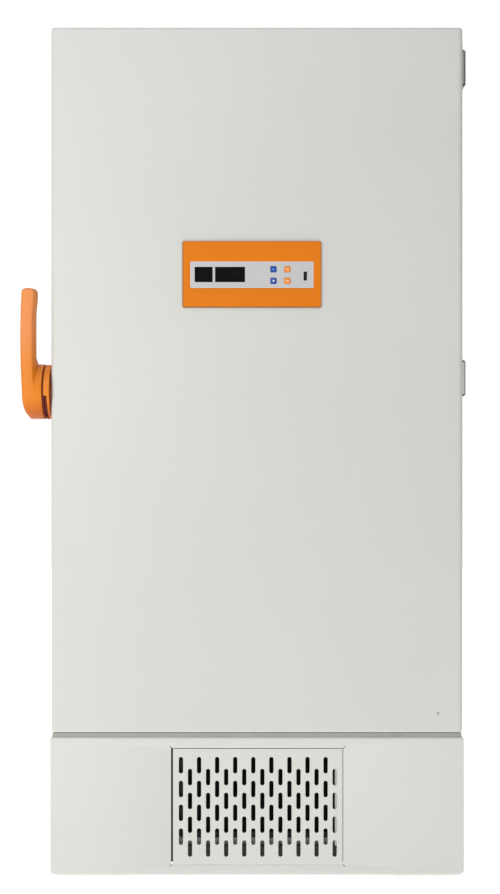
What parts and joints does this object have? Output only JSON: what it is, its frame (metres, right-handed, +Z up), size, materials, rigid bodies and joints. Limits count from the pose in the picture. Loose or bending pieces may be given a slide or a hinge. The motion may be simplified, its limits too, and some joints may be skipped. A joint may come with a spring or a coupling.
{
  "type": "laboratory freezer",
  "caption": "Upright ultra-low-temperature laboratory freezer with a lever-latched outer door, inner doors, shelves, key panel and grille hatch.",
  "frame": {"origin": "on the floor, under the middle of the whole object's box at rest", "axes": "+Z up, +Y to the back of the freezer, +X to the right as seen from the front"},
  "size_m": [1.0414, 0.9726, 1.955],
  "materials": {
    "paint_white": "satin off-white powder coat",
    "paint_grey": "grey powder coat",
    "paint_black": "black enamel",
    "galvanised": "zinc-coated sheet, uncoated spangle",
    "stainless": "brushed stainless steel",
    "bright_steel": "plated steel",
    "copper": "bare copper tube",
    "aluminium": "mill finish",
    "foam": "rigid polyurethane foam",
    "white_plastic": "white moulded plastic",
    "grey_plastic": "grey moulded plastic",
    "black_plastic": "black moulded plastic",
    "orange_plastic": "satin orange moulded plastic",
    "key_plate": "grey membrane plate",
    "display": "dark display window",
    "key_blue": "blue key",
    "key_orange": "orange key",
    "seal": "grey flexible seal",
    "board": "green circuit board",
    "mesh": "black filter mesh",
    "wheel": "dark wheel tread"
  },
  "bodies": {
    "cabinet": {"base_frame": "paint_grey", "left_side_panel": "paint_white", "right_side_panel": "paint_white", "top_panel": "paint_white", "rear_panel": "paint_white", "rear_service_cover": "paint_white", "machine_deck": "galvanised", "cabinet_insulation": "foam", "inner_liner": "stainless", "breaker_strips": "white_plastic", "inner_door_frame": "white_plastic", "shelf_supports": "stainless", "shelves": "stainless", "evaporator_coil": "copper", "temperature_probe": "stainless", "access_port": "white_plastic", "hinge_brackets": "bright_steel", "hinge_covers": "grey_plastic", "latch_keeper": "bright_steel", "front_lower_panel": "paint_white", "air_filter": "mesh", "condenser_coil": "aluminium", "fan_shroud": "galvanised", "fan_motor": "paint_black", "compressors": "paint_black", "heat_exchanger": "black_plastic", "oil_separator": "paint_black", "refrigerant_pipes": "copper", "electrical_box": "galvanised", "power_inlet": "black_plastic", "rear_caster_forks": "bright_steel"},
    "door": {"door_skin": "paint_white", "door_insulation": "foam", "door_inner_panel": "white_plastic", "door_gasket": "seal", "door_hinge_leaves": "bright_steel", "control_bezel": "orange_plastic", "control_membrane": "key_plate", "display_windows": "display", "control_board": "board", "handle_base": "orange_plastic"},
    "handle": {"handle_lever": "orange_plastic", "latch_hook": "bright_steel"},
    "lock": {"lock_cylinder": "bright_steel"},
    "upper_inner_door": {"inner_door_upper": "white_plastic"},
    "lower_inner_door": {"inner_door_lower": "white_plastic"},
    "hatch": {"grille_hatch": "paint_white"},
    "fan": {"fan_blade": "black_plastic"},
    "foot_left": {"levelling_foot_left": "bright_steel"},
    "foot_right": {"levelling_foot_right": "bright_steel"},
    "key_blue_upper_body": {"key_blue_upper": "key_blue"},
    "key_blue_lower_body": {"key_blue_lower": "key_blue"},
    "key_orange_upper_body": {"key_orange_upper": "key_orange"},
    "key_orange_lower_body": {"key_orange_lower": "key_orange"},
    "front_caster_left": {"caster_fork_front_left": "bright_steel"},
    "front_wheel_left": {"caster_wheel_front_left": "wheel"},
    "rear_wheel_left": {"caster_wheel_rear_left": "wheel"},
    "front_caster_right": {"caster_fork_front_right": "bright_steel"},
    "front_wheel_right": {"caster_wheel_front_right": "wheel"},
    "rear_wheel_right": {"caster_wheel_rear_right": "wheel"}
  },
  "joints": [
    {"name": "outer_door_hinge", "type": "hinge", "parent": "cabinet", "child": "door", "pos_m": [0.51025, -0.38065, 1.155], "axis": [0, 0, 1], "range_deg": [0, 120]},
    {"name": "upper_inner_door_hinge", "type": "hinge", "parent": "cabinet", "child": "upper_inner_door", "pos_m": [0.35955, -0.36765, 1.4814], "axis": [0, 0, 1], "range_deg": [0, 96]},
    {"name": "lower_inner_door_hinge", "type": "hinge", "parent": "cabinet", "child": "lower_inner_door", "pos_m": [0.35955, -0.36765, 0.7986], "axis": [0, 0, 1], "range_deg": [0, 96]},
    {"name": "handle_pull", "type": "hinge", "parent": "door", "child": "handle", "pos_m": [-0.49225, -0.41865, 1.121], "axis": [1, 0, 0], "range_deg": [0, 90]},
    {"name": "lock_turn", "type": "hinge", "parent": "handle", "child": "lock", "pos_m": [-0.51875, -0.41865, 1.121], "axis": [-1, 0, 0], "range_deg": [0, 90]},
    {"name": "grille_hinge", "type": "hinge", "parent": "cabinet", "child": "hatch", "pos_m": [0.21305, -0.47565, 0.16725], "axis": [0, 0, 1], "range_deg": [0, 110]},
    {"name": "fan_spin", "type": "hinge", "parent": "cabinet", "child": "fan", "pos_m": [0.02475, -0.37575, 0.196], "axis": [0, 1, 0], "continuous": true},
    {"name": "key_blue_upper_press", "type": "slide", "parent": "door", "child": "key_blue_upper_body", "axis": [0, 1, 0], "range_m": [0, 0.0005], "stiffness_N_per_m": 400},
    {"name": "key_blue_lower_press", "type": "slide", "parent": "door", "child": "key_blue_lower_body", "axis": [0, 1, 0], "range_m": [0, 0.0005], "stiffness_N_per_m": 400},
    {"name": "key_orange_upper_press", "type": "slide", "parent": "door", "child": "key_orange_upper_body", "axis": [0, 1, 0], "range_m": [0, 0.0005], "stiffness_N_per_m": 400},
    {"name": "key_orange_lower_press", "type": "slide", "parent": "door", "child": "key_orange_lower_body", "axis": [0, 1, 0], "range_m": [0, 0.0005], "stiffness_N_per_m": 400},
    {"name": "caster_swivel_left", "type": "hinge", "parent": "cabinet", "child": "front_caster_left", "pos_m": [-0.38025, -0.40465, 0.07], "axis": [0, 0, 1], "continuous": true},
    {"name": "front_wheel_spin_left", "type": "hinge", "parent": "front_caster_left", "child": "front_wheel_left", "pos_m": [-0.38025, -0.38665, 0.025], "axis": [1, 0, 0], "continuous": true},
    {"name": "rear_wheel_spin_left", "type": "hinge", "parent": "cabinet", "child": "rear_wheel_left", "pos_m": [-0.38025, 0.41935, 0.025], "axis": [1, 0, 0], "continuous": true},
    {"name": "foot_screw_left", "type": "slide", "parent": "cabinet", "child": "foot_left", "axis": [0, 0, 1], "range_m": [0, 0.02]},
    {"name": "caster_swivel_right", "type": "hinge", "parent": "cabinet", "child": "front_caster_right", "pos_m": [0.42975, -0.40465, 0.07], "axis": [0, 0, 1], "continuous": true},
    {"name": "front_wheel_spin_right", "type": "hinge", "parent": "front_caster_right", "child": "front_wheel_right", "pos_m": [0.42975, -0.38665, 0.025], "axis": [1, 0, 0], "continuous": true},
    {"name": "rear_wheel_spin_right", "type": "hinge", "parent": "cabinet", "child": "rear_wheel_right", "pos_m": [0.42975, 0.41935, 0.025], "axis": [1, 0, 0], "continuous": true},
    {"name": "foot_screw_right", "type": "slide", "parent": "cabinet", "child": "foot_right", "axis": [0, 0, 1], "range_m": [0, 0.02]}
  ],
  "couplings": [
    {"joint": "upper_inner_door_hinge", "follows": "outer_door_hinge", "ratio": 0.8},
    {"joint": "lower_inner_door_hinge", "follows": "outer_door_hinge", "ratio": 0.8}
  ]
}
